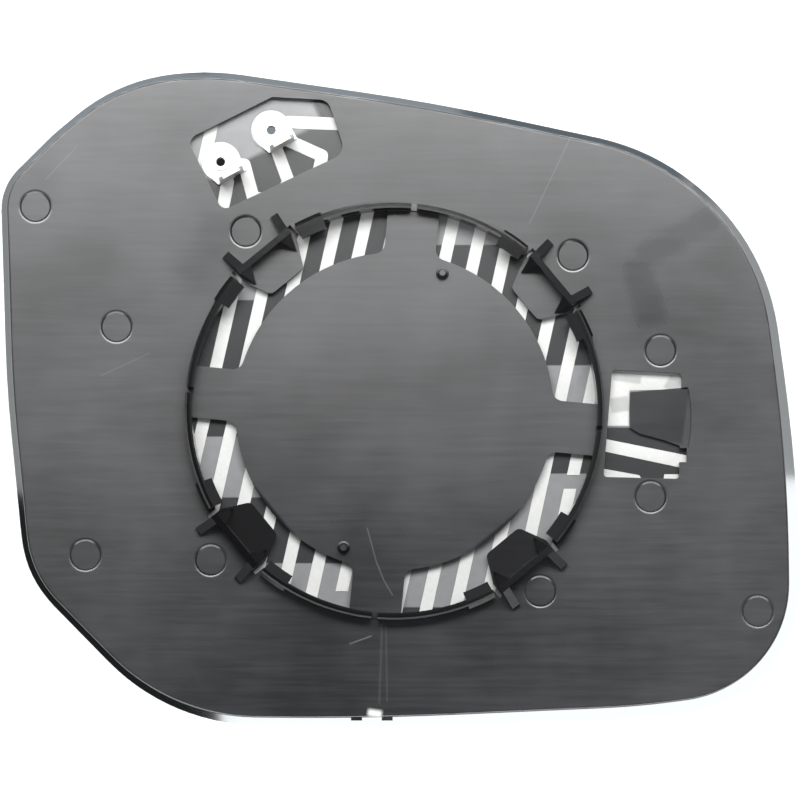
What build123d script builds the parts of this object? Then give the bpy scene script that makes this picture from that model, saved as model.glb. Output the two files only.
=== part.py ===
"""Heated convex glass of a car's door mirror, lying on its face with the back up.

The origin is under the middle of the glass, at the lowest point of the convex face. +X is to the right
and +Y up when the back is looked at, and +Z points out of the back. All sizes are in millimetres.
"""

from build123d import *
import os
from math import atan2, cos, degrees, radians, sin, sqrt

# Layers, from the convex face upwards
glass_face_radius = 1400.0
glass_thickness = 2.0
glass_edge_bevel = 0.35
bond_line = 0.06
film_thickness = 0.25
track_thickness = 0.12
plate_thickness = 2.2
plate_edge_round = 0.5
blank_height = 30.0

# Outline of the glass: x, y and rounding of each corner, anticlockwise from the upper left
glass_corners = [
    (-96.5, 51.1, 14.0),
    (-94.7, 2.1, 310.0),
    (-89.8, -43.0, 28.0),
    (-55.4, -77.8, 51.0),
    (-9.0, -79.1, 790.0),
    (57.5, -76.8, 200.0),
    (96.1, -71.8, 31.7),
    (95.6, -17.0, 400.0),
    (88.4, 37.9, 54.5),
    (60.9, 60.7, 55.0),
    (7.8, 72.3, 500.0),
    (-46.0, 79.9, 62.0),
    (-68.2, 77.3, 44.0),
    (-83.9, 63.9, 40.0),
]
# Bare rim of glass beside the plate at each of the corners
rim_widths = [1.9, 1.9, 1.9, 2.0, 2.6, 3.3, 3.6, 2.7, 2.3, 2.0, 2.1, 2.2, 2.0, 2.0]
film_setback = 1.5

# Retaining ring, whose four-fold pattern is turned a little against the plate
ring_x = -1.3
ring_y = -3.0
ring_turn = -5.5
ring_inner_radius = 48.4
ring_wall = 1.6
ring_height = 6.0
ring_rim_bevel = 0.45
ring_parts = 4
key_notch_width = 1.4
key_notch_depth = 4.6

# Arc windows between the ring and the inner disc
disc_radius = 38.2
window_overlap = 0.4
bridge_width = 12.4
window_corner_round = 2.6
window_edge_bevel = 0.3

# Snap clips: a flexing tongue with a straight wall on it, fins outside and gussets inside
clip_angle = 45.0
tongue_tip_radius = 40.5
tongue_tip_width = 10.0
tongue_root_width = 16.4
tongue_shoulder_radius = 47.0
tongue_corner_round = 1.6
tongue_slot_width = 0.9
tongue_slot_end = 50.6
chord_wall = 1.5
chord_wall_setback = 0.3
fin_angle = 7.8
fin_thickness = 2.0
fin_reach = 4.6
fin_tip_height = 1.6
gusset_reach = 3.8
gusset_inner_offset = 4.2
gusset_tip_offset = 6.3
gusset_tip_height = 0.5

# Hook lugs at the ends of the ring's arcs
lug_start_angle = 11.2
lug_span_angle = 7.8
hook_reach = 1.9
hook_lead_in = 1.6
hook_depth = 3.2
buttress_width = 0.7
buttress_drop = 1.6

# Two tapered locating pins on the inner disc
pin_circle_radius = 35.0
pin_angles = [70.8, 249.6]
pin_top_diameter = 2.0
pin_root_diameter = 3.6
pin_height = 2.4

# Round marks left by the mould's ejectors
ejector_mark_diameter = 7.5
ejector_mark_floor = 6.7
ejector_mark_depth = 0.3
ejector_marks = [
    (-87.5, 45.9),
    (-37.1, 40.2),
    (-68.0, 17.1),
    (41.6, 34.4),
    (62.5, 11.4),
    (59.9, -23.7),
    (33.5, -46.2),
    (85.1, -51.0),
    (-75.0, -37.6),
    (-45.2, -38.8),
]

# Stubs of the broken-off gate on the plate's lower edge
gate_x = -6.7
gate_edge_y = -76.15
gate_spacing = 7.3
gate_width = 2.6
gate_reach = 0.7
gate_thickness = 1.2

# Window over the terminals: x, y and rounding of each corner
terminal_window = [
    (-51.2, 62.4, 2.4),
    (-42.8, 45.2, 2.0),
    (-13.1, 59.3, 3.4),
    (-17.4, 72.0, 3.0),
    (-30.8, 72.7, 0.6),
]

# Window at the right of the ring, with a thin tongue that reaches in from its right side
side_window = [
    (50.9, 6.9, 0.8),
    (48.7, -18.9, 0.8),
    (66.7, -19.4, 0.8),
    (67.6, 5.9, 1.2),
]
side_slot_middle = (67.2, -13.7)
side_slot_size = (2.8, 3.4)
side_tongue_top = [(69.0, 2.6), (55.2, 1.5)]
side_tongue_foot = [(55.2, -7.0), (57.4, -8.4), (63.2, -10.0), (69.0, -12.1)]
side_tongue_root = (69.8, -4.6)
side_tongue_thickness = 1.1

# Heating conductors: evenly spaced slanted legs, joined in pairs at their ends
track_width = 3.0
leg_start = -46.0
leg_pitch = 7.05
leg_slope = 0.222
first_leg = -6
last_leg = 17
leg_tops = {-1: 50.0, 0: 50.0, 1: 52.5, 2: 57.5, 3: 66.3}
leg_feet = {6: -46.2}
broken_leg = 13
break_middle_y = -20.0
break_length = 3.3
joined_tops = [(-6, -4), (-3, -2), (4, 6), (7, 8), (9, 10), (11, 12), (13, 17)]
joined_feet = [(-4, -3), (-2, 0), (1, 4), (5, 7), (8, 9), (10, 11), (12, 14)]
return_feet = [(-6, -5), (15, 17)]
return_setback = 2.0
join_setback = 6.6

# Conductors behind the side window, in place of the legs
side_clearing = [(48.0, 10.0), (46.0, -22.0), (67.4, -22.0), (74.5, 10.0)]
side_bus = [(47.5, 11.5), (48.0, -6.5), (55.0, -6.5), (55.2, 2.0), (74.0, 2.4), (75.0, 11.5)]
side_lower_bus = [(46.0, -9.0), (46.0, -12.0), (71.0, -17.4), (71.0, -14.1)]
side_spur = [(46.0, -16.3), (45.6, -22.5), (60.0, -22.5), (57.4, -18.4)]
side_patch = [(63.4, -18.2), (62.6, -23.0), (66.0, -23.0), (66.9, -18.2)]

# Terminals: round heads riveted to the pads, each with a blade bent up from its edge
terminal_places = {"left": (-43.3, 57.2), "right": (-31.1, 64.9)}
terminal_traces = {
    "left": [
        [(-41.6, 52.5), (-42.4, 48.0)],
        [(-37.6, 56.6), (-35.4, 48.5)],
    ],
    "right": [
        [(-29.9, 60.6), (-26.9, 52.5)],
        [(-27.2, 62.6), (-18.9, 58.9), (-19.3, 56.0)],
        [(-27.0, 67.0), (-10.3, 66.4)],
    ],
}
pad_radius = 4.9
terminal_sheet = 0.8
terminal_head_radius = 4.6
terminal_corners = [(-4.0, -2.3), (-0.5, -5.5), (6.2, -1.9), (3.9, 2.4)]
blade_width = 6.3
blade_height = 7.8
blade_tip_bevel = 0.9
blade_hole_diameter = 1.7
blade_hole_height = 4.6
rivet_gap = 0.05
rivet_bore = 2.2
rivet_wall = 0.3
rivet_flange_diameter = 4.2
rivet_flange_thickness = 0.3

# Worked out from the sizes above
glass_back_radius = glass_face_radius - glass_thickness
film_seat_radius = glass_back_radius - bond_line
film_back_radius = film_seat_radius - film_thickness
track_seat_radius = film_back_radius - bond_line
track_back_radius = track_seat_radius - track_thickness
plate_seat_radius = track_back_radius - bond_line
plate_back_radius = plate_seat_radius - plate_thickness
ring_outer_radius = ring_inner_radius + ring_wall
rivet_outer_radius = rivet_bore / 2 + rivet_wall
outline_reach = 2 * abs(glass_corners[0][0])


def surface_height(radius, x, y):
    """Height above the floor of the layer of that radius of curvature, at a point."""
    return glass_face_radius - sqrt(radius**2 - x**2 - y**2)


plate_height_at_ring = surface_height(plate_back_radius, ring_outer_radius, 0)
ring_top = surface_height(plate_back_radius, 0, 0) + ring_height
ring_root = plate_height_at_ring - 0.6 * plate_thickness
ring_plane = Plane(
    origin=(ring_x, ring_y, 0),
    x_dir=(cos(radians(ring_turn)), sin(radians(ring_turn)), 0),
    z_dir=(0, 0, 1),
)


def seat_plane(x, y, radius):
    """Plane that lies on the layer of that radius of curvature, with +Z out of the back."""
    spot = Vector(x, y, surface_height(radius, x, y))
    out = (Vector(0, 0, glass_face_radius) - spot).normalized()
    return Plane(origin=spot, x_dir=Vector(0, 1, 0).cross(out), z_dir=out)


def inset_corners(corners, widths):
    """Corners of an outline that has moved inwards, by a width of its own at each corner."""
    moved = []
    for i, ((x, y, rounding), width) in enumerate(zip(corners, widths)):
        before = corners[i - 1]
        after = corners[(i + 1) % len(corners)]
        side_in = Vector(before[1] - y, x - before[0]).normalized()
        side_out = Vector(y - after[1], after[0] - x).normalized()
        step = (side_in + side_out) * (width / (1 + side_in.dot(side_out)))
        moved.append((x + step.X, y + step.Y, max(rounding - width, 0)))
    return moved


def rounded_face(corners):
    """Flat face inside a closed outline of corners that each have their own rounding."""
    with BuildSketch() as face:
        with BuildLine():
            points = [(x, y) for x, y, _ in corners]
            FilletPolyline(*points, radius=[rounding for _, _, rounding in corners], close=True)
        make_face()
    return face.sketch


def keep_layer(lower_radius, upper_radius):
    """Cut the part in hand down to what lies between two spheres about the centre of curvature."""
    with Locations((0, 0, glass_face_radius)):
        Sphere(lower_radius, rotation=(90, 0, 0), mode=Mode.INTERSECT)
        Sphere(upper_radius, rotation=(90, 0, 0), mode=Mode.SUBTRACT)


plate_corners = inset_corners(glass_corners, rim_widths)
film_corners = inset_corners(plate_corners, [film_setback] * len(plate_corners))


def make_mirror_glass():
    """Convex pane with a ground edge."""
    with BuildPart() as mirror_glass:
        extrude(rounded_face(glass_corners), blank_height)
        keep_layer(glass_face_radius, glass_back_radius)
        chamfer(mirror_glass.faces().filter_by(GeomType.SPHERE).edges(), glass_edge_bevel)
    return mirror_glass


def make_heater_film():
    """Carrier film, with a hole for each rivet."""
    with BuildPart() as heater_film:
        extrude(rounded_face(film_corners), blank_height)
        keep_layer(film_seat_radius, film_back_radius)
        with Locations(*terminal_places.values()):
            Cylinder(rivet_outer_radius + rivet_gap, blank_height, mode=Mode.SUBTRACT)
    return heater_film


def leg_band(first, last, low, high):
    """Slanted band from the left side of one leg to the right side of another."""
    corners = []
    for number, side, y in ((first, -1, low), (last, 1, low), (last, 1, high), (first, -1, high)):
        x = leg_start + leg_pitch * number + leg_slope * y
        corners.append((x + side * track_width / 2, y))
    Polygon(*corners, align=None)


def edge_strip(setback):
    """Strip of a conductor's width that follows the film's edge, in from it by the setback."""
    outer = inset_corners(film_corners, [setback] * len(film_corners))
    inner = inset_corners(outer, [track_width] * len(outer))
    with BuildSketch() as edge:
        add(rounded_face(outer))
        add(rounded_face(inner), mode=Mode.SUBTRACT)
    return edge.sketch


def leg_face():
    """Legs, the strips that join their ends and the return strip along the lower edge."""
    leg_field = inset_corners(film_corners, [join_setback] * len(film_corners))
    return_field = inset_corners(film_corners, [return_setback] * len(film_corners))
    with BuildSketch() as legs:
        for number in range(first_leg, last_leg + 1):
            foot = leg_feet.get(number, -outline_reach)
            leg_band(number, number, foot, leg_tops.get(number, outline_reach))
        add(rounded_face(leg_field), mode=Mode.INTERSECT)
    with BuildSketch() as joins:
        for first, last in joined_tops:
            leg_band(first, last, 0, outline_reach)
        for first, last in joined_feet + return_feet:
            leg_band(first, last, -outline_reach, 0)
        add(edge_strip(join_setback), mode=Mode.INTERSECT)
    with BuildSketch() as returning:
        leg_band(return_feet[0][0], return_feet[-1][1], -outline_reach, 0)
        add(edge_strip(return_setback), mode=Mode.INTERSECT)
    with BuildSketch() as drops:
        for first, last in return_feet:
            leg_band(first, last, -outline_reach, 0)
        add(rounded_face(return_field), mode=Mode.INTERSECT)
        add(rounded_face(leg_field), mode=Mode.SUBTRACT)
    with BuildSketch() as face:
        add(legs.sketch)
        add(joins.sketch)
        add(returning.sketch)
        add(drops.sketch)
    return face.sketch


def make_heater_tracks():
    """Printed conductors, pads and traces, with a hole for each rivet."""
    with BuildSketch() as tracks:
        add(leg_face())
        break_x = leg_start + leg_pitch * broken_leg + leg_slope * break_middle_y
        with Locations((break_x, break_middle_y)):
            Rectangle(2 * track_width, break_length, mode=Mode.SUBTRACT)
        Polygon(*side_clearing, align=None, mode=Mode.SUBTRACT)
        for corners in (side_bus, side_lower_bus, side_spur, side_patch):
            Polygon(*corners, align=None)
        for name, place in terminal_places.items():
            with Locations(place):
                Circle(pad_radius)
            for points in terminal_traces[name]:
                trace(place, points)
        with Locations(*terminal_places.values()):
            Circle(rivet_outer_radius + rivet_gap, mode=Mode.SUBTRACT)
    with BuildPart() as heater_tracks:
        extrude(tracks.sketch, blank_height)
        keep_layer(track_seat_radius, track_back_radius)
    return heater_tracks


def trace(pad, points):
    """Conductor of even width that leads from a pad through the points."""
    for (from_x, from_y), (to_x, to_y) in zip([pad] + points, points):
        middle = ((from_x + to_x) / 2, (from_y + to_y) / 2)
        run = Vector(to_x - from_x, to_y - from_y)
        with Locations(Location(middle, degrees(atan2(run.Y, run.X)))):
            SlotCenterToCenter(run.length, track_width)


def from_middle(vertex):
    """Distance of a point from the middle, in plan."""
    return sqrt(vertex.X**2 + vertex.Y**2)


def arc_window_face():
    """The four arc windows, with a tongue left standing in each and a slot at both its sides."""
    with BuildSketch() as tongues:
        with PolarLocations(0, ring_parts, start_angle=clip_angle):
            Polygon(
                (tongue_tip_radius, -tongue_tip_width / 2),
                (tongue_shoulder_radius, -tongue_root_width / 2),
                (tongue_slot_end, -tongue_root_width / 2),
                (tongue_slot_end, tongue_root_width / 2),
                (tongue_shoulder_radius, tongue_root_width / 2),
                (tongue_tip_radius, tongue_tip_width / 2),
                align=None,
            )
        tips = tongues.vertices().filter_by(lambda v: from_middle(v) < tongue_shoulder_radius)
        fillet(tips, tongue_corner_round)
    slot_offset = (tongue_root_width + tongue_slot_width) / 2
    with BuildSketch() as windows:
        Circle(ring_inner_radius + window_overlap)
        Circle(disc_radius, mode=Mode.SUBTRACT)
        Rectangle(3 * ring_inner_radius, bridge_width, mode=Mode.SUBTRACT)
        Rectangle(bridge_width, 3 * ring_inner_radius, mode=Mode.SUBTRACT)
        inner = windows.vertices().filter_by(lambda v: from_middle(v) < tongue_shoulder_radius)
        fillet(inner, window_corner_round)
        add(tongues.sketch, mode=Mode.SUBTRACT)
        slot_length = tongue_slot_end - tongue_shoulder_radius
        slot_middle = (tongue_slot_end + tongue_shoulder_radius) / 2
        with PolarLocations(0, ring_parts, start_angle=clip_angle):
            with Locations((slot_middle, slot_offset), (slot_middle, -slot_offset)):
                Rectangle(slot_length, tongue_slot_width)
    return windows.sketch


def side_tongue_face():
    """Plan of the thin tongue in the side window, up to its curved root."""
    with BuildSketch() as tongue:
        with BuildLine():
            Polyline(*side_tongue_top, *side_tongue_foot)
            ThreePointArc(side_tongue_foot[-1], side_tongue_root, side_tongue_top[0])
        make_face()
    return tongue.sketch


def side_window_face():
    """Opening of the side window round its tongue, with the small slot at its right."""
    with BuildSketch() as window:
        add(rounded_face(side_window))
        with Locations(side_slot_middle):
            Rectangle(*side_slot_size)
        add(side_tongue_face(), mode=Mode.SUBTRACT)
    return window.sketch


def make_side_recess():
    """Room over the side window's tongue, which makes it thinner than the plate."""
    with BuildPart() as recess:
        extrude(side_tongue_face(), blank_height)
        with Locations((0, 0, glass_face_radius)):
            Sphere(plate_seat_radius - side_tongue_thickness, rotation=(90, 0, 0), mode=Mode.INTERSECT)
    return recess.part


def profile_face(points):
    """Upright face of points that are given by distance from the ring's middle and height."""
    with BuildSketch(Plane.XZ) as profile:
        Polygon(*points, align=None)
    return profile.sketch


def make_ring_arc():
    """One arc of the ring, from clip to clip, with a hook lug at each end and a key notch between."""
    arc_span = 360 / ring_parts - 2 * lug_start_angle
    hook_tip = ring_inner_radius - hook_reach
    wall = [
        (ring_inner_radius, ring_root),
        (ring_outer_radius, ring_root),
        (ring_outer_radius, ring_top - ring_rim_bevel),
        (ring_outer_radius - ring_rim_bevel, ring_top),
        (ring_inner_radius + ring_rim_bevel, ring_top),
        (ring_inner_radius, ring_top - ring_rim_bevel),
    ]
    hook = [
        (ring_outer_radius - ring_rim_bevel, ring_top - hook_depth),
        (ring_outer_radius - ring_rim_bevel, ring_top),
        (ring_inner_radius + ring_rim_bevel, ring_top),
        (hook_tip, ring_top - hook_lead_in),
        (hook_tip, ring_top - hook_depth),
    ]
    buttress = [
        (ring_inner_radius + ring_rim_bevel, ring_root),
        (ring_outer_radius + buttress_width, ring_root),
        (ring_outer_radius + buttress_width, ring_top - buttress_drop),
        (ring_outer_radius - ring_rim_bevel, ring_top),
        (ring_inner_radius + ring_rim_bevel, ring_top),
    ]
    with BuildPart() as lug:
        revolve(profile_face(hook), axis=Axis.Z, revolution_arc=lug_span_angle)
        revolve(profile_face(buttress), axis=Axis.Z, revolution_arc=lug_span_angle)
    with BuildPart() as arc:
        revolve(profile_face(wall), axis=Axis.Z, revolution_arc=arc_span)
        add(lug.part)
        add(lug.part, rotation=(0, 0, arc_span - lug_span_angle))
        with PolarLocations(ring_outer_radius, 1, start_angle=arc_span / 2):
            with Locations((0, 0, ring_top)):
                Box(4 * ring_wall, key_notch_width, 2 * key_notch_depth, mode=Mode.SUBTRACT)
    return arc.part


def make_clip():
    """Straight wall of one clip, between its two fins outside and its two gussets inside."""
    wall_middle = ring_inner_radius + chord_wall / 2
    wall_end = tongue_root_width / 2 - chord_wall_setback
    fin_length = fin_reach + chord_wall
    fin_middle = ring_inner_radius + chord_wall + fin_reach / 2
    gusset_tip = ring_inner_radius - gusset_reach
    with BuildSketch(Plane.XY.offset(ring_root)) as plan:
        with Locations((wall_middle, 0)):
            Rectangle(chord_wall, 2 * wall_end)
        for side in (1, -1):
            with PolarLocations(0, 1, start_angle=side * fin_angle):
                with Locations((fin_middle, 0)):
                    Rectangle(fin_length, fin_thickness)
            Polygon(
                (wall_middle, side * gusset_inner_offset),
                (wall_middle, side * wall_end),
                (gusset_tip, side * gusset_tip_offset),
                align=None,
            )
    tongue_height = surface_height(plate_back_radius, gusset_tip, 0)
    roof = [
        (gusset_tip - fin_thickness, ring_root),
        (gusset_tip - fin_thickness, tongue_height + gusset_tip_height),
        (gusset_tip, tongue_height + gusset_tip_height),
        (ring_inner_radius, ring_top),
        (ring_outer_radius, ring_top),
        (ring_outer_radius + fin_reach, plate_height_at_ring + fin_tip_height),
        (ring_outer_radius + 2 * fin_reach, plate_height_at_ring + fin_tip_height),
        (ring_outer_radius + 2 * fin_reach, ring_root),
    ]
    with BuildPart() as clip:
        extrude(plan.sketch, ring_top - ring_root)
        extrude(profile_face(roof), tongue_root_width, both=True, mode=Mode.INTERSECT)
    return clip.part


def make_backing_plate():
    """Moulded plate with its ring, clips, pins, windows and the marks of its mould."""
    with BuildPart() as backing_plate:
        extrude(rounded_face(plate_corners), blank_height)
        keep_layer(plate_seat_radius, plate_back_radius)
        back = backing_plate.faces().sort_by(Axis.Z)[-1]
        fillet(back.outer_wire().edges(), plate_edge_round)
        for face in (rounded_face(terminal_window), side_window_face()):
            extrude(face, blank_height, mode=Mode.SUBTRACT)
        with Locations(ring_plane):
            add(extrude(arc_window_face(), blank_height, mode=Mode.PRIVATE), mode=Mode.SUBTRACT)
        back = backing_plate.faces().filter_by(GeomType.SPHERE).sort_by(SortBy.AREA)[-1]
        chamfer(back.inner_wires().edges(), window_edge_bevel)
        add(make_side_recess(), mode=Mode.SUBTRACT)
        ring_arc = make_ring_arc()
        clip = make_clip()
        with Locations(ring_plane):
            with PolarLocations(0, ring_parts, start_angle=clip_angle):
                add(clip)
            with PolarLocations(0, ring_parts, start_angle=clip_angle + lug_start_angle):
                add(ring_arc)
        for angle in pin_angles:
            x = ring_x + pin_circle_radius * cos(radians(angle))
            y = ring_y + pin_circle_radius * sin(radians(angle))
            with Locations(seat_plane(x, y, plate_back_radius + plate_thickness / 2)):
                Cone(
                    pin_root_diameter / 2,
                    pin_top_diameter / 2,
                    pin_height + plate_thickness / 2,
                    align=(Align.CENTER, Align.CENTER, Align.MIN),
                )
        for x, y in ejector_marks:
            with Locations(seat_plane(x, y, plate_back_radius)):
                Cone(
                    ejector_mark_floor / 2,
                    ejector_mark_diameter - ejector_mark_floor / 2,
                    2 * ejector_mark_depth,
                    mode=Mode.SUBTRACT,
                )
        gate_height = surface_height(plate_seat_radius - plate_thickness / 2, gate_x, gate_edge_y)
        with Locations((gate_x, gate_edge_y, gate_height)):
            with GridLocations(gate_spacing, 0, 2, 1):
                Box(gate_width, 2 * gate_reach, gate_thickness)
    return backing_plate


def make_terminal(place):
    """Riveted head with a blade that stands up from the straight side between its two corners."""
    tip, corner = Vector(*terminal_corners[1]), Vector(*terminal_corners[2])
    fold = corner - tip
    fold_plane = Plane(origin=(tip + corner) / 2, x_dir=fold, z_dir=(0, 0, 1))
    with BuildSketch() as head:
        Circle(terminal_head_radius)
        Polygon(*terminal_corners, align=None)
        Circle(rivet_outer_radius + rivet_gap, mode=Mode.SUBTRACT)
    with BuildPart() as blade:
        with Locations((0, terminal_sheet / 2, 0)):
            Box(blade_width, terminal_sheet, blade_height, align=(Align.CENTER, Align.CENTER, Align.MIN))
        tips = blade.faces().sort_by(Axis.Z)[-1].edges().sort_by(Axis.X)
        chamfer([tips[0], tips[-1]], blade_tip_bevel)
        with Locations((0, 0, blade_hole_height)):
            Cylinder(blade_hole_diameter / 2, 4 * terminal_sheet, rotation=(90, 0, 0), mode=Mode.SUBTRACT)
    with BuildPart() as terminal:
        with Locations(seat_plane(*place, plate_seat_radius)):
            add(extrude(head.sketch, terminal_sheet, mode=Mode.PRIVATE))
            with Locations(fold_plane):
                add(blade.part)
    return terminal


def make_rivet(place):
    """Hollow rivet through a terminal, its pad and the film."""
    seat_depth = 2 * bond_line + track_thickness + film_thickness
    with BuildSketch(Plane.XZ) as profile:
        with BuildLine():
            Polyline(
                (rivet_bore / 2, -seat_depth),
                (rivet_outer_radius, -seat_depth),
                (rivet_outer_radius, terminal_sheet),
                (rivet_flange_diameter / 2, terminal_sheet),
                (rivet_flange_diameter / 2, terminal_sheet + rivet_flange_thickness),
                (rivet_bore / 2, terminal_sheet + rivet_flange_thickness),
                close=True,
            )
        make_face()
    with BuildPart() as shape:
        revolve(profile.sketch, axis=Axis.Z)
    with BuildPart() as rivet:
        with Locations(seat_plane(*place, plate_seat_radius)):
            add(shape.part)
    return rivet


built = {
    "mirror_glass": make_mirror_glass(),
    "heater_film": make_heater_film(),
    "heater_tracks": make_heater_tracks(),
    "backing_plate": make_backing_plate(),
}
for side, place in terminal_places.items():
    built[f"terminal_{side}"] = make_terminal(place)
    built[f"rivet_{side}"] = make_rivet(place)

os.makedirs("parts", exist_ok=True)
for name, builder in built.items():
    builder.part.label = name
    export_step(builder.part, f"parts/{name}.step")
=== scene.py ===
"""Heated door mirror glass, lying on its face: finishes, light and camera round the fixed frame."""

import logging
import math
from dataclasses import dataclass
from enum import Enum
from typing import Any, Mapping, Sequence

import bpy
from bpy.types import Material, Node, NodeSocket, NodeTree, Object
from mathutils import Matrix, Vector


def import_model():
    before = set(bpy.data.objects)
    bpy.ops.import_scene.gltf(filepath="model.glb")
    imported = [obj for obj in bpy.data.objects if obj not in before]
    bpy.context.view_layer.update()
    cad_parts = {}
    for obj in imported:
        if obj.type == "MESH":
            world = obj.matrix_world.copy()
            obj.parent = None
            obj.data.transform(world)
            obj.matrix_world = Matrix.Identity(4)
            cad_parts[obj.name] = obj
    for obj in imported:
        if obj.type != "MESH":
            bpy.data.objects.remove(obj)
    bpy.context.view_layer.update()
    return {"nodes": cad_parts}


MM = 0.001
IN_PLAN = (1.0, 1.0, 0.0)

# The sRGB curve has a straight foot and goes on as a power.
FULL_CHANNEL = 255
SRGB_FOOT_TOP = 0.04045
SRGB_FOOT_SLOPE = 12.92
SRGB_OFFSET = 0.055
SRGB_POWER = 2.4

# A Mix node's sockets go by number, because several of them share a name.
MIX_SHARE = 0
VALUE_UNDER = 2
VALUE_OVER = 3
VALUE_RESULT = 0
COLOUR_UNDER = 6
COLOUR_OVER = 7
COLOUR_RESULT = 2

Point = tuple[float, float, float]

log = logging.getLogger("mirror_glass")


def linear(colour: str) -> tuple[float, float, float, float]:
    """Turns an sRGB hex colour into the linear colour that shaders take.

    Args:
        colour: six hex digits with a leading hash.

    Returns:
        Red, green, blue and an alpha of one.
    """
    channels = []
    for start in (1, 3, 5):
        value = int(colour[start : start + 2], 16) / FULL_CHANNEL
        if value <= SRGB_FOOT_TOP:
            channels.append(value / SRGB_FOOT_SLOPE)
        else:
            channels.append(((value + SRGB_OFFSET) / (1 + SRGB_OFFSET)) ** SRGB_POWER)
    return channels[0], channels[1], channels[2], 1.0


def add_node(
    tree: NodeTree,
    kind: str,
    settings: Mapping[Any, Any] | None = None,
    links: Mapping[Any, NodeSocket] | None = None,
) -> Node:
    """Adds a node with its settings and links.

    Args:
        tree: node tree that takes the node.
        kind: the node's type name.
        settings: socket names or numbers and attribute names, with their values.
        links: socket names or numbers, with the outputs that feed them.

    Returns:
        The new node.
    """
    node = tree.nodes.new(kind)
    given = settings or {}
    attributes = [name for name in given if isinstance(name, str) and name[0].islower()]
    for name in attributes:
        setattr(node, name, given[name])
    for name, value in given.items():
        if name not in attributes:
            node.inputs[name].default_value = value
    for name, output in (links or {}).items():
        tree.links.new(output, node.inputs[name])
    return node


class Area:
    """Area of the part's back that a finish treats in its own way."""

    def mask(self, tree: NodeTree, place: NodeSocket) -> NodeSocket:
        """Adds the nodes that tell how strongly a place belongs to the area.

        Args:
            tree: node tree of the material.
            place: position on the part, in metres.

        Returns:
            Output that holds the area's strength inside it and nought outside it.
        """
        raise NotImplementedError


@dataclass(frozen=True)
class RoundMark(Area):
    """Round area with a soft shoulder outside its edge, in millimetres."""

    x: float
    y: float
    diameter: float = 6.6
    shoulder: float = 0.9

    def mask(self, tree: NodeTree, place: NodeSocket) -> NodeSocket:
        """Measures how far a place lies from the mark's middle, in plan.

        Args:
            tree: node tree of the material.
            place: position on the part, in metres.

        Returns:
            Output that is one on the mark and falls to nought across its shoulder.
        """
        squash = {"operation": "MULTIPLY", 1: IN_PLAN}
        flat = add_node(tree, "ShaderNodeVectorMath", squash, {0: place})
        away = add_node(
            tree,
            "ShaderNodeVectorMath",
            {"operation": "DISTANCE", 1: (self.x * MM, self.y * MM, 0)},
            {0: flat.outputs[0]},
        )
        shape = {
            "interpolation_type": "SMOOTHSTEP",
            "From Min": self.diameter / 2 * MM,
            "From Max": (self.diameter / 2 + self.shoulder) * MM,
            "To Min": 1.0,
            "To Max": 0.0,
        }
        inside = add_node(tree, "ShaderNodeMapRange", shape, {"Value": away.outputs["Value"]})
        return inside.outputs[0]


@dataclass(frozen=True)
class Patch(Area):
    """Soft-edged straight patch on the part, seen from the back, in millimetres and degrees."""

    x: float
    y: float
    length: float
    width: float
    turn: float = 0.0
    softness: float = 0.4
    strength: float = 1.0

    def mask(self, tree: NodeTree, place: NodeSocket) -> NodeSocket:
        """Measures how far a place lies from the patch's middle, along and across it.

        Args:
            tree: node tree of the material.
            place: position on the part, in metres.

        Returns:
            Output that holds the patch's strength inside it and nought outside its soft edge.
        """
        local = add_node(
            tree,
            "ShaderNodeMapping",
            {
                "vector_type": "TEXTURE",
                "Location": (self.x * MM, self.y * MM, 0),
                "Rotation": (0, 0, math.radians(self.turn)),
            },
            {"Vector": place},
        )
        axes = add_node(tree, "ShaderNodeSeparateXYZ", links={"Vector": local.outputs["Vector"]})
        sides = []
        for axis, size, top in (("X", self.length, self.strength), ("Y", self.width, 1.0)):
            away = add_node(
                tree, "ShaderNodeMath", {"operation": "ABSOLUTE"}, {0: axes.outputs[axis]}
            )
            limits = {
                "interpolation_type": "SMOOTHSTEP",
                "From Min": (size - self.softness) / 2 * MM,
                "From Max": (size + self.softness) / 2 * MM,
                "To Min": top,
                "To Max": 0.0,
            }
            side = add_node(tree, "ShaderNodeMapRange", limits, {"Value": away.outputs[0]})
            sides.append(side.outputs[0])
        both = {0: sides[0], 1: sides[1]}
        return add_node(tree, "ShaderNodeMath", {"operation": "MULTIPLY"}, both).outputs[0]


def join_areas(tree: NodeTree, place: NodeSocket, areas: Sequence[Area]) -> NodeSocket:
    """Joins areas into one mask.

    Args:
        tree: node tree of the material.
        place: position on the part, in metres.
        areas: the areas, at least one.

    Returns:
        Output that holds the highest mask at each place.
    """
    joined = areas[0].mask(tree, place)
    for area in areas[1:]:
        both = {0: joined, 1: area.mask(tree, place)}
        joined = add_node(tree, "ShaderNodeMath", {"operation": "MAXIMUM"}, both).outputs[0]
    return joined


@dataclass(frozen=True)
class Finish:
    """What each finish of the part has in common: a name and a shader that its kind dresses."""

    name: str

    def material(self) -> Material:
        """Builds the finish's material.

        Returns:
            The material, with one surface shader that the finish has dressed.
        """
        material = bpy.data.materials.new(self.name)
        material.use_nodes = True
        tree = material.node_tree
        tree.nodes.clear()
        shader = add_node(tree, "ShaderNodeBsdfPrincipled")
        add_node(tree, "ShaderNodeOutputMaterial", links={"Surface": shader.outputs["BSDF"]})
        place = add_node(tree, "ShaderNodeTexCoord").outputs["Object"]
        self.dress(tree, shader, place)
        return material

    def dress(self, tree: NodeTree, shader: Node, place: NodeSocket) -> None:
        """Sets the shader's values and adds the finish's own nodes.

        Args:
            tree: node tree of the material.
            shader: its surface shader.
            place: position on the part, in metres.
        """
        raise NotImplementedError


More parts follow.
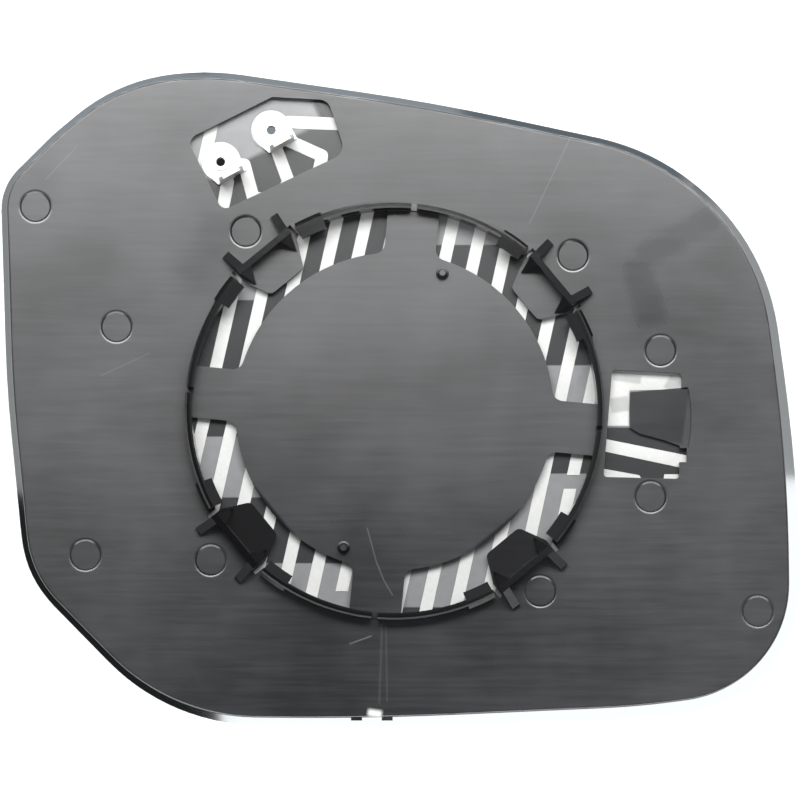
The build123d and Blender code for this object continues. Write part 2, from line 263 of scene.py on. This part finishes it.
@dataclass(frozen=True)
class MouldedAbs(Finish):
    """Black moulded ABS: a satin skin on the plate, and glossy faces on the ring and its clips.

    The satin skin spreads the light of the studio and looks grey. The glossy faces mirror the
    dark ceiling and look black; their near-black colour also paints shade on the ring and clips,
    and on the lower clip tongues it is painted shadow of the clip walls. Draw lines and scuffs
    tint the skin, and the draw lines raise it. Its roughness changes only gently, over clouds,
    dry satin fields and greasy glossy ones.
    """

    name: str = "moulded_abs"
    skin: str = "#0e0f10"
    skin_light: str = "#1f2022"
    # Near-black colour of the glossy faces, which also paints shade on them.
    gloss_and_shade_skin: str = "#040405"
    scuff: str = "#77797b"
    stress: str = "#b9bab8"
    ior: float = 1.53
    roughness: float = 0.295
    polished_roughness: float = 0.14
    # The plate's back rises outwards from its middle on this radius. What stands above it is
    # glossy and painted darker as shade, and the change lies between two heights over it.
    plate_back_mm: float = 4.75
    plate_curve_mm: float = 1395.0
    raised_from_mm: float = 0.45
    raised_to_mm: float = 0.9
    # Real draw lines are finer. They are drawn as coarse as this so that they show.
    draw_line_mm: float = 1.3
    draw_line_length_mm: float = 26.0
    draw_line_detail: float = 2.0
    draw_line_roughness: float = 0.7
    draw_line_share: float = 0.8
    draw_line_relief: float = 0.15
    draw_line_depth_mm: float = 0.05
    cloud_mm: float = 30.0
    cloud_detail: float = 3.0
    cloud_roughness: float = 0.6
    cloud_range: tuple[float, float] = (0.25, 0.75)
    cloud_dulling: tuple[float, float] = (-0.01, 0.03)
    # Clouds and draw lines together, where the skin is darkest and where it is lightest.
    shade_range: tuple[float, float] = (0.7, 1.15)
    scuffs: tuple[Patch, ...] = (
        Patch(36.5, 53.3, 25.0, 0.2, 64.5, 0.4, 0.14),
        Patch(-6.8, -35.0, 8.2, 0.2, -74.7, 0.4, 0.2),
        Patch(-4.8, -41.3, 5.4, 0.2, -68.0, 0.4, 0.24),
        Patch(-2.8, -45.4, 4.1, 0.2, -59.0, 0.4, 0.22),
        Patch(-9.4, -57.8, 5.6, 0.25, 20.0, 0.4, 0.28),
        Patch(-4.6, -63.5, 19.0, 0.4, 88.0, 0.7, 0.07),
        Patch(-3.2, -63.5, 18.0, 0.3, 91.0, 0.5, 0.07),
        Patch(-81.5, 56.3, 11.0, 0.25, 46.8, 0.4, 0.1),
        Patch(-66.0, 8.0, 13.0, 0.2, 25.0, 0.4, 0.1),
    )
    stress_marks: tuple[Patch, ...] = (Patch(-6.0, -75.2, 3.2, 1.5, -8.0, 1.2, 0.8),)
    pin_tops: tuple[RoundMark, ...] = (
        RoundMark(10.2, 30.1, 1.2, 0.3),
        RoundMark(-13.5, -35.8, 1.2, 0.3),
    )
    # Glossy patches on the two lower clip tongues, darkened as painted shadow of the clip walls,
    # and a weaker one that darkens the side tongue.
    glossy_shaded_tongues: tuple[Patch, ...] = (
        Patch(-34.9, -29.7, 11.0, 17.0, 39.5, 1.0, 0.9),
        Patch(25.9, -36.2, 17.0, 11.0, 39.5, 1.0, 0.75),
        Patch(61.5, -3.6, 14.0, 13.0, -8.0, 1.0, 0.35),
    )
    ejector_marks: tuple[RoundMark, ...] = (
        RoundMark(-87.5, 45.9),
        RoundMark(-37.1, 40.2),
        RoundMark(-68.0, 17.1),
        RoundMark(41.6, 34.4),
        RoundMark(62.5, 11.4),
        RoundMark(59.9, -23.7),
        RoundMark(33.5, -46.2),
        RoundMark(85.1, -51.0),
        RoundMark(-75.0, -37.6),
        RoundMark(-45.2, -38.8),
    )
    mark_relief: float = 1.0
    mark_sink_mm: float = 0.1
    satin_fields: tuple[Patch, ...] = (
        Patch(-4.0, 22.0, 56.0, 44.0, 0.0, 40.0),
        Patch(-82.0, 20.0, 70.0, 90.0, 0.0, 50.0, 0.4),
        Patch(-78.0, -36.0, 50.0, 50.0, 0.0, 40.0, 0.3),
    )
    glossy_fields: tuple[Patch, ...] = (
        Patch(-2.0, -58.0, 90.0, 56.0, 0.0, 50.0),
        Patch(-46.5, 36.0, 20.0, 9.0, 58.0, 6.0, 0.5),
        Patch(66.6, 38.6, 23.0, 7.0, 31.0, 5.0, 0.8),
        Patch(58.8, 25.5, 18.0, 8.0, -75.0, 5.0, 0.8),
        Patch(72.0, 20.0, 44.0, 64.0, 0.0, 34.0, 0.25),
    )
    satin_gain: float = 0.045
    gloss_gain: float = -0.06

    def dress(self, tree: NodeTree, shader: Node, place: NodeSocket) -> None:
        """Adds clouding and fine draw lines, and from them the colour, roughness and relief.

        Args:
            tree: node tree of the material.
            shader: its surface shader.
            place: position on the part, in metres.
        """
        shader.inputs["IOR"].default_value = self.ior
        clouds = add_node(
            tree,
            "ShaderNodeTexNoise",
            {
                "Scale": 1 / (self.cloud_mm * MM),
                "Detail": self.cloud_detail,
                "Roughness": self.cloud_roughness,
            },
            {"Vector": place},
        ).outputs["Fac"]
        stretched = add_node(
            tree,
            "ShaderNodeMapping",
            {"Scale": (self.draw_line_mm / self.draw_line_length_mm, 1.0, 1.0)},
            {"Vector": place},
        )
        lines = add_node(
            tree,
            "ShaderNodeTexNoise",
            {
                "Scale": 1 / (self.draw_line_mm * MM),
                "Detail": self.draw_line_detail,
                "Roughness": self.draw_line_roughness,
            },
            {"Vector": stretched.outputs["Vector"]},
        ).outputs["Fac"]
        gloss_and_shade = self.find_gloss_and_shade(tree, place)
        outputs = {
            "Base Color": self.mix_colour(tree, place, clouds, lines, gloss_and_shade),
            "Roughness": self.mix_roughness(tree, place, clouds, gloss_and_shade),
            "Normal": self.mix_normal(tree, place, lines),
        }
        for name, output in outputs.items():
            tree.links.new(output, shader.inputs[name])

    def find_gloss_and_shade(self, tree: NodeTree, place: NodeSocket) -> NodeSocket:
        """Finds what stands above the plate's curved back, and the tongues made glossy and painted
        as shaded.

        Args:
            tree: node tree of the material.
            place: position on the part, in metres.

        Returns:
            Output that is one where the plastic is glossy and painted as shaded, and nought on the
            plate.
        """
        axes = add_node(tree, "ShaderNodeSeparateXYZ", links={"Vector": place})
        squash = {"operation": "MULTIPLY", 1: IN_PLAN}
        flat = add_node(tree, "ShaderNodeVectorMath", squash, {0: place})
        square = add_node(
            tree,
            "ShaderNodeVectorMath",
            {"operation": "DOT_PRODUCT"},
            {0: flat.outputs[0], 1: flat.outputs[0]},
        )
        height = add_node(
            tree,
            "ShaderNodeMath",
            {"operation": "MULTIPLY_ADD", 1: -1 / (2 * self.plate_curve_mm * MM)},
            {0: square.outputs["Value"], 2: axes.outputs["Z"]},
        )
        above = add_node(
            tree,
            "ShaderNodeMapRange",
            {
                "From Min": (self.plate_back_mm + self.raised_from_mm) * MM,
                "From Max": (self.plate_back_mm + self.raised_to_mm) * MM,
            },
            {"Value": height.outputs[0]},
        )
        sides = add_node(
            tree,
            "ShaderNodeMath",
            {"operation": "SUBTRACT", "use_clamp": True},
            {0: above.outputs[0], 1: join_areas(tree, place, self.pin_tops)},
        )
        tongues = join_areas(tree, place, self.glossy_shaded_tongues)
        both = {0: sides.outputs[0], 1: tongues}
        return add_node(tree, "ShaderNodeMath", {"operation": "MAXIMUM"}, both).outputs[0]

    def mix_colour(
        self,
        tree: NodeTree,
        place: NodeSocket,
        clouds: NodeSocket,
        lines: NodeSocket,
        gloss_and_shade: NodeSocket,
    ) -> NodeSocket:
        """Colours the skin, then its scuffs, its whitened gate, and the glossy faces in painted
        shade.

        Args:
            tree: node tree of the material.
            place: position on the part, in metres.
            clouds: the skin's clouding.
            lines: its draw lines.
            gloss_and_shade: mask of the glossy faces, whose colour paints shade.

        Returns:
            Output that holds the colour.
        """
        both = add_node(
            tree,
            "ShaderNodeMath",
            {"operation": "MULTIPLY_ADD", 1: self.draw_line_share},
            {0: lines, 2: clouds},
        )
        darkest, lightest = self.shade_range
        spread = add_node(
            tree,
            "ShaderNodeMapRange",
            {"From Min": darkest, "From Max": lightest},
            {"Value": both.outputs[0]},
        )
        colour = add_node(
            tree,
            "ShaderNodeMix",
            {
                "data_type": "RGBA",
                COLOUR_UNDER: linear(self.skin),
                COLOUR_OVER: linear(self.skin_light),
            },
            {MIX_SHARE: spread.outputs[0]},
        )
        layers = (
            (join_areas(tree, place, self.scuffs), self.scuff),
            (join_areas(tree, place, self.stress_marks), self.stress),
            # Near-black over the glossy faces: painted shade on the ring, the clips and the lower
            # tongues.
            (gloss_and_shade, self.gloss_and_shade_skin),
        )
        for mask, over in layers:
            colour = add_node(
                tree,
                "ShaderNodeMix",
                {"data_type": "RGBA", COLOUR_OVER: linear(over)},
                {MIX_SHARE: mask, COLOUR_UNDER: colour.outputs[COLOUR_RESULT]},
            )
        return colour.outputs[COLOUR_RESULT]

    def mix_roughness(
        self, tree: NodeTree, place: NodeSocket, clouds: NodeSocket, gloss_and_shade: NodeSocket
    ) -> NodeSocket:
        """Clouds the skin's roughness, and changes it in the satin and the glossy fields.

        Args:
            tree: node tree of the material.
            place: position on the part, in metres.
            clouds: the skin's clouding.
            gloss_and_shade: mask of the glossy faces; here it sets only their roughness.

        Returns:
            Output that holds the roughness.
        """
        low, high = self.cloud_range
        least, most = self.cloud_dulling
        duller = add_node(
            tree,
            "ShaderNodeMapRange",
            {
                "From Min": low,
                "From Max": high,
                "To Min": self.roughness + least,
                "To Max": self.roughness + most,
            },
            {"Value": clouds},
        )
        fields = ((self.satin_fields, self.satin_gain), (self.glossy_fields, self.gloss_gain))
        for areas, gain in fields:
            duller = add_node(
                tree,
                "ShaderNodeMath",
                {"operation": "MULTIPLY_ADD", 1: gain},
                {0: join_areas(tree, place, areas), 2: duller.outputs[0]},
            )
        finish = add_node(
            tree,
            "ShaderNodeMix",
            {"data_type": "FLOAT", VALUE_OVER: self.polished_roughness},
            {MIX_SHARE: gloss_and_shade, VALUE_UNDER: duller.outputs[0]},
        )
        return finish.outputs[VALUE_RESULT]

    def mix_normal(self, tree: NodeTree, place: NodeSocket, lines: NodeSocket) -> NodeSocket:
        """Raises the draw lines a little, and sinks the ejector marks.

        Args:
            tree: node tree of the material.
            place: position on the part, in metres.
            lines: the skin's draw lines.

        Returns:
            Output that holds the normal.
        """
        bump = add_node(
            tree,
            "ShaderNodeBump",
            {"Strength": self.draw_line_relief, "Distance": self.draw_line_depth_mm * MM},
            {"Height": lines},
        )
        marks = join_areas(tree, place, self.ejector_marks)
        sunk = add_node(
            tree,
            "ShaderNodeBump",
            {"Strength": self.mark_relief, "Distance": self.mark_sink_mm * MM, "invert": True},
            {"Height": marks, "Normal": bump.outputs["Normal"]},
        )
        return sunk.outputs["Normal"]


@dataclass(frozen=True)
class SilveredGlass(Finish):
    """Silvered float glass, ground at its edge: a clear mirror inside a dull greenish border."""

    name: str = "silvered_glass"
    silver: str = "#dfe3e5"
    ground: str = "#b4bab8"
    mirror_roughness: float = 0.025
    ground_roughness: float = 0.5
    ground_metallic: float = 0.15
    # Real grit is finer. It is drawn as coarse as this so that it shows.
    grit_mm: float = 0.6
    grit_detail: float = 2.0
    grit_spread: float = 0.15
    # Height of a face's normal, between ground edge and level mirror.
    level_range: tuple[float, float] = (0.93, 0.97)

    def dress(self, tree: NodeTree, shader: Node, place: NodeSocket) -> None:
        """Makes level faces mirror-bright, and bevels and edges ground and dull.

        Args:
            tree: node tree of the material.
            shader: its surface shader.
            place: position on the part, in metres.
        """
        facing = add_node(tree, "ShaderNodeNewGeometry").outputs["True Normal"]
        up = add_node(tree, "ShaderNodeSeparateXYZ", links={"Vector": facing})
        level = add_node(tree, "ShaderNodeMath", {"operation": "ABSOLUTE"}, {0: up.outputs["Z"]})
        steep, flat = self.level_range
        edge = add_node(
            tree,
            "ShaderNodeMapRange",
            {"From Min": steep, "From Max": flat, "To Min": 1.0, "To Max": 0.0},
            {"Value": level.outputs[0]},
        )
        grit = add_node(
            tree,
            "ShaderNodeTexNoise",
            {"Scale": 1 / (self.grit_mm * MM), "Detail": self.grit_detail},
            {"Vector": place},
        )
        grain = add_node(
            tree,
            "ShaderNodeMapRange",
            {
                "To Min": self.ground_roughness - self.grit_spread,
                "To Max": self.ground_roughness + self.grit_spread,
            },
            {"Value": grit.outputs["Fac"]},
        )
        colour = add_node(
            tree,
            "ShaderNodeMix",
            {
                "data_type": "RGBA",
                COLOUR_UNDER: linear(self.silver),
                COLOUR_OVER: linear(self.ground),
            },
            {MIX_SHARE: edge.outputs[0]},
        )
        dull = add_node(
            tree,
            "ShaderNodeMix",
            {"data_type": "FLOAT", VALUE_UNDER: self.mirror_roughness},
            {MIX_SHARE: edge.outputs[0], VALUE_OVER: grain.outputs[0]},
        )
        metal = add_node(
            tree,
            "ShaderNodeMapRange",
            {"To Min": 1.0, "To Max": self.ground_metallic},
            {"Value": edge.outputs[0]},
        )
        tree.links.new(colour.outputs[COLOUR_RESULT], shader.inputs["Base Color"])
        tree.links.new(dull.outputs[VALUE_RESULT], shader.inputs["Roughness"])
        tree.links.new(metal.outputs[0], shader.inputs["Metallic"])


@dataclass(frozen=True)
class CarbonPrintedFilm(Finish):
    """Polyester film with screen-printed carbon fields: dull dark print beside pale bare film."""

    name: str = "carbon_printed_film"
    carbon: str = "#1c1d1e"
    bare: str = "#616263"
    ior: float = 1.57
    roughness: float = 0.22
    mottle_mm: float = 2.5
    mottle_detail: float = 4.0
    mottle_roughness: float = 0.65
    mottle_shade: tuple[float, float] = (0.82, 1.12)
    bare_fields: tuple[Patch, ...] = (
        Patch(-37.0, 66.3, 33.0, 15.0, 26.8, 1.5),
        Patch(34.0, 48.0, 60.0, 21.4),
        Patch(50.0, 0.6, 34.0, 15.0),
        Patch(-39.0, 26.2, 12.0, 4.6),
        Patch(-42.0, -16.4, 40.0, 14.6),
        Patch(-31.0, -52.0, 60.0, 25.0),
        Patch(22.0, -34.0, 48.0, 32.0),
        Patch(30.0, -40.0, 34.0, 44.0),
    )

    def dress(self, tree: NodeTree, shader: Node, place: NodeSocket) -> None:
        """Prints the carbon fields, with a slight mottle over print and bare film.

        Args:
            tree: node tree of the material.
            shader: its surface shader.
            place: position on the part, in metres.
        """
        shader.inputs["IOR"].default_value = self.ior
        shader.inputs["Roughness"].default_value = self.roughness
        mottle = add_node(
            tree,
            "ShaderNodeTexNoise",
            {
                "Scale": 1 / (self.mottle_mm * MM),
                "Detail": self.mottle_detail,
                "Roughness": self.mottle_roughness,
            },
            {"Vector": place},
        )
        print_colour = add_node(
            tree,
            "ShaderNodeMix",
            {
                "data_type": "RGBA",
                COLOUR_UNDER: linear(self.carbon),
                COLOUR_OVER: linear(self.bare),
            },
            {MIX_SHARE: join_areas(tree, place, self.bare_fields)},
        )
        darker, lighter = self.mottle_shade
        shade = add_node(
            tree,
            "ShaderNodeMapRange",
            {"To Min": darker, "To Max": lighter},
            {"Value": mottle.outputs["Fac"]},
        )
        colour = add_node(
            tree,
            "ShaderNodeMix",
            {"data_type": "RGBA", "blend_type": "MULTIPLY", MIX_SHARE: 1.0},
            {COLOUR_UNDER: print_colour.outputs[COLOUR_RESULT], COLOUR_OVER: shade.outputs[0]},
        )
        tree.links.new(colour.outputs[COLOUR_RESULT], shader.inputs["Base Color"])


@dataclass(frozen=True)
class SilverInk(Finish):
    """Screen-printed silver ink: pale, dull metal with the fine mesh of the screen in it."""

    name: str = "silver_ink"
    ink: str = "#9a9a98"
    ink_dark: str = "#8a8b8a"
    # Ink darkened as painted shade in the narrow slots round the side tongue.
    ink_slot_shade: str = "#717271"
    metallic: float = 0.15
    roughness: float = 0.5
    # The screen's real mesh is finer. It is drawn as coarse as this so that it shows.
    mesh_mm: float = 0.9
    mesh_detail: float = 2.0
    mesh_roughness: float = 0.7
    mesh_relief: float = 0.2
    mesh_depth_mm: float = 0.02
    # Painted shade: darker ink in the narrow slots round the side tongue.
    slot_shade_patches: tuple[Patch, ...] = (
        Patch(54.6, 5.0, 6.8, 2.0, -8.0, 0.8, 0.8),
        Patch(65.6, 3.4, 3.2, 3.4, -30.0, 0.8, 0.8),
        Patch(52.8, -1.4, 4.4, 3.6, 8.0, 0.8, 0.8),
    )

    def dress(self, tree: NodeTree, shader: Node, place: NodeSocket) -> None:
        """Mottles the ink with the screen's mesh, and paints shade on it in the slots round the
        side tongue.

        Args:
            tree: node tree of the material.
            shader: its surface shader.
            place: position on the part, in metres.
        """
        shader.inputs["Metallic"].default_value = self.metallic
        shader.inputs["Roughness"].default_value = self.roughness
        mesh = add_node(
            tree,
            "ShaderNodeTexNoise",
            {
                "Scale": 1 / (self.mesh_mm * MM),
                "Detail": self.mesh_detail,
                "Roughness": self.mesh_roughness,
            },
            {"Vector": place},
        )
        even = add_node(
            tree,
            "ShaderNodeMix",
            {
                "data_type": "RGBA",
                COLOUR_UNDER: linear(self.ink_dark),
                COLOUR_OVER: linear(self.ink),
            },
            {MIX_SHARE: mesh.outputs["Fac"]},
        )
        # Painted shade in the slots round the side tongue.
        slot_shade = join_areas(tree, place, self.slot_shade_patches)
        colour = add_node(
            tree,
            "ShaderNodeMix",
            {"data_type": "RGBA", COLOUR_OVER: linear(self.ink_slot_shade)},
            {MIX_SHARE: slot_shade, COLOUR_UNDER: even.outputs[COLOUR_RESULT]},
        )
        bump = add_node(
            tree,
            "ShaderNodeBump",
            {"Strength": self.mesh_relief, "Distance": self.mesh_depth_mm * MM},
            {"Height": mesh.outputs["Fac"]},
        )
        tree.links.new(colour.outputs[COLOUR_RESULT], shader.inputs["Base Color"])
        tree.links.new(bump.outputs["Normal"], shader.inputs["Normal"])


@dataclass(frozen=True)
class TinnedBrass(Finish):
    """Brass strip dipped in tin: bright white metal with a soft, slightly wavy shine."""

    name: str = "tinned_brass"
    tin: str = "#929290"
    metallic: float = 0.75
    roughness: float = 0.34
    shine_range: tuple[float, float] = (-0.08, 0.1)
    wave_mm: float = 1.6
    wave_detail: float = 2.0
    wave_relief: float = 0.25
    wave_depth_mm: float = 0.05

    def dress(self, tree: NodeTree, shader: Node, place: NodeSocket) -> None:
        """Gives the tin its soft waves.

        Args:
            tree: node tree of the material.
            shader: its surface shader.
            place: position on the part, in metres.
        """
        shader.inputs["Base Color"].default_value = linear(self.tin)
        shader.inputs["Metallic"].default_value = self.metallic
        waves = add_node(
            tree,
            "ShaderNodeTexNoise",
            {"Scale": 1 / (self.wave_mm * MM), "Detail": self.wave_detail},
            {"Vector": place},
        )
        least, most = self.shine_range
        shine = add_node(
            tree,
            "ShaderNodeMapRange",
            {"To Min": self.roughness + least, "To Max": self.roughness + most},
            {"Value": waves.outputs["Fac"]},
        )
        bump = add_node(
            tree,
            "ShaderNodeBump",
            {"Strength": self.wave_relief, "Distance": self.wave_depth_mm * MM},
            {"Height": waves.outputs["Fac"]},
        )
        tree.links.new(shine.outputs[0], shader.inputs["Roughness"])
        tree.links.new(bump.outputs["Normal"], shader.inputs["Normal"])


@dataclass(frozen=True)
class PaperSweep(Finish):
    """Matt white paper under the part: an even pale ground with no shine."""

    name: str = "paper"
    paper: str = "#fcfcfb"
    roughness: float = 0.9
    specular: float = 0.1
    # Real fibres are finer. They are drawn as coarse as this so that they show.
    fibres_per_mm: float = 0.9
    fibre_relief: float = 0.05
    fibre_depth_mm: float = 0.1

    def dress(self, tree: NodeTree, shader: Node, place: NodeSocket) -> None:
        """Gives the paper its faint fibre.

        Args:
            tree: node tree of the material.
            shader: its surface shader.
            place: position on the paper, in metres.
        """
        shader.inputs["Roughness"].default_value = self.roughness
        shader.inputs["Specular IOR Level"].default_value = self.specular
        shader.inputs["Base Color"].default_value = linear(self.paper)
        scale = {"Scale": self.fibres_per_mm / MM}
        fibre = add_node(tree, "ShaderNodeTexNoise", scale, {"Vector": place})
        bump = add_node(
            tree,
            "ShaderNodeBump",
            {"Strength": self.fibre_relief, "Distance": self.fibre_depth_mm * MM},
            {"Height": fibre.outputs["Fac"]},
        )
        tree.links.new(bump.outputs["Normal"], shader.inputs["Normal"])


class NodeRole(Enum):
    """The frame's solids, by what each is on the part."""

    GLASS = "mirror_glass"
    FILM = "heater_film"
    TRACKS = "heater_tracks"
    PLATE = "backing_plate"
    TERMINAL_LEFT = "terminal_left"
    TERMINAL_RIGHT = "terminal_right"
    RIVET_LEFT = "rivet_left"
    RIVET_RIGHT = "rivet_right"


@dataclass
class SubAssembly:
    """Solids of the frame that share one finish."""

    roles: tuple[NodeRole, ...]
    finish: Finish

    def dress(self, nodes: Mapping[str, Object]) -> None:
        """Puts the finish on the solids' material slots.

        Args:
            nodes: the frame's objects by name.
        """
        material = self.finish.material()
        for role in self.roles:
            for slot in nodes[role.value].material_slots:
                slot.material = material
            log.info("%s finished in %s", role.value, self.finish.name)


@dataclass
class MirrorPane(SubAssembly):
    """The convex pane."""

    roles: tuple[NodeRole, ...] = (NodeRole.GLASS,)
    finish: Finish = SilveredGlass()


@dataclass
class HeatingPad(SubAssembly):
    """The film of the heating pad."""

    roles: tuple[NodeRole, ...] = (NodeRole.FILM,)
    finish: Finish = CarbonPrintedFilm()


@dataclass
class HeatingTracks(SubAssembly):
    """The conductors printed on the heating pad."""

    roles: tuple[NodeRole, ...] = (NodeRole.TRACKS,)
    finish: Finish = SilverInk()


@dataclass
class BackingPlate(SubAssembly):
    """The moulded plate with its ring and clips."""

    roles: tuple[NodeRole, ...] = (NodeRole.PLATE,)
    finish: Finish = MouldedAbs()


@dataclass
class Terminals(SubAssembly):
    """The two blade terminals and their rivets."""

    roles: tuple[NodeRole, ...] = (
        NodeRole.TERMINAL_LEFT,
        NodeRole.TERMINAL_RIGHT,
        NodeRole.RIVET_LEFT,
        NodeRole.RIVET_RIGHT,
    )
    finish: Finish = TinnedBrass()


@dataclass(frozen=True)
class Softbox:
    """Rectangular studio light, in metres, with the brightness of its face."""

    name: str
    place: Point
    aim: Point
    size: tuple[float, float]
    brightness: float
    colour: str = "#ffffff"

    def build(self) -> None:
        """Adds the light, turned to its aim."""
        lamp = bpy.data.lights.new(self.name, "AREA")
        lamp.shape = "RECTANGLE"
        lamp.size, lamp.size_y = self.size
        lamp.energy = self.brightness * math.pi * self.size[0] * self.size[1]
        lamp.color = linear(self.colour)[:3]
        light = bpy.data.objects.new(self.name, lamp)
        light.location = self.place
        toward = Vector(self.aim) - Vector(self.place)
        light.rotation_euler = toward.to_track_quat("-Z", "Y").to_euler()
        bpy.context.scene.collection.objects.link(light)


@dataclass
class Studio:
    """Paper sweep, soft lights and a pale room with a dark ceiling, in metres.

    The key hangs beyond the part's top edge and gives the satin plate its grey sheen. The fill
    stands low below its foot and keeps the paper white there. Each card hangs high over one side
    and is there to be mirrored in the bare rim of the glass.
    """

    sweep_size: float = 6.0
    room: str = "#c4c6c8"
    room_strength: float = 1.0
    ceiling_strength: float = 0.03
    # Height of a direction on a ball of radius one, between bright room and dark ceiling.
    ceiling_range: tuple[float, float] = (0.80, 0.97)
    softboxes: tuple[Softbox, ...] = (
        Softbox("key_beyond_top_edge", (0.0, 0.265, 0.5), (0.0, 0.265, 0.0), (0.6, 0.25), 23.6),
        Softbox("fill_below_foot", (0.0, -0.75, 0.27), (0.0, -0.08, 0.0), (1.2, 0.25), 12.0),
        Softbox("card_right", (0.092, 0.045, 1.2), (0.092, 0.045, 0), (0.04, 0.046), 1.3),
        Softbox("card_bottom", (0.035, 0.004, 1.2), (0.035, 0.004, 0), (0.15, 0.042), 1.3),
        Softbox("card_right_dim", (0.092, 0.102, 1.2), (0.092, 0.102, 0), (0.06, 0.066), 0.36),
        Softbox("card_left", (-0.09, 0.1, 1.2), (-0.09, 0.1, 0), (0.05, 0.076), 0.29),
        Softbox(
            "card_top_left", (-0.05, 0.153, 1.2), (-0.05, 0.153, 0), (0.13, 0.03), 0.5, "#ced5dc"
        ),
        Softbox("card_top", (0.065, 0.15, 1.2), (0.065, 0.15, 0), (0.1, 0.03), 0.24, "#c3d0dd"),
    )

    def build(self) -> None:
        """Adds the sweep, the lights and the room."""
        bpy.ops.mesh.primitive_plane_add(size=self.sweep_size, location=(0, 0, 0))
        sweep = bpy.context.object
        sweep.name = "paper_sweep"
        sweep.data.materials.append(PaperSweep().material())
        for softbox in self.softboxes:
            softbox.build()
            log.info("light %s", softbox.name)
        world = bpy.data.worlds.new("room")
        bpy.context.scene.world = world
        world.use_nodes = True
        tree = world.node_tree
        tree.nodes.clear()
        aim = add_node(tree, "ShaderNodeTexCoord").outputs["Generated"]
        axes = add_node(tree, "ShaderNodeSeparateXYZ", links={"Vector": aim})
        low, high = self.ceiling_range
        fade = add_node(
            tree,
            "ShaderNodeMapRange",
            {
                "interpolation_type": "SMOOTHSTEP",
                "From Min": low,
                "From Max": high,
                "To Min": self.room_strength,
                "To Max": self.ceiling_strength,
            },
            {"Value": axes.outputs["Z"]},
        )
        glow = add_node(
            tree,
            "ShaderNodeBackground",
            {"Color": linear(self.room)},
            {"Strength": fade.outputs[0]},
        )
        add_node(tree, "ShaderNodeOutputWorld", links={"Surface": glow.outputs["Background"]})


@dataclass
class PhotoCamera:
    """Camera that looks down on the back of the glass, in metres and degrees."""

    elevation: float = 86.0
    distance: float = 0.75
    target: Point = (0.0, -0.0004, 0.005)
    view_width: float = 0.192
    sensor_mm: float = 36.0
    clip_start: float = 0.01

    def build(self) -> None:
        """Adds the camera and makes it the scene's own."""
        camera = bpy.data.cameras.new("photo_camera")
        camera.sensor_width = self.sensor_mm
        camera.lens = self.sensor_mm * self.distance / self.view_width
        camera.clip_start = self.clip_start
        body = bpy.data.objects.new("photo_camera", camera)
        tilt = math.radians(self.elevation)
        back = Vector((0, -math.cos(tilt), math.sin(tilt)))
        body.location = Vector(self.target) + back * self.distance
        body.rotation_euler = (math.pi / 2 - tilt, 0, 0)
        bpy.context.scene.collection.objects.link(body)
        bpy.context.scene.camera = body


def main() -> None:
    """Loads the frame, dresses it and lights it."""
    logging.basicConfig(level=logging.INFO, format="%(name)s: %(message)s")
    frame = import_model()
    for assembly in (MirrorPane(), HeatingPad(), HeatingTracks(), BackingPlate(), Terminals()):
        assembly.dress(frame["nodes"])
    Studio().build()
    PhotoCamera().build()
    bpy.context.scene.view_settings.view_transform = "Standard"


if __name__ == "__main__":
    main()
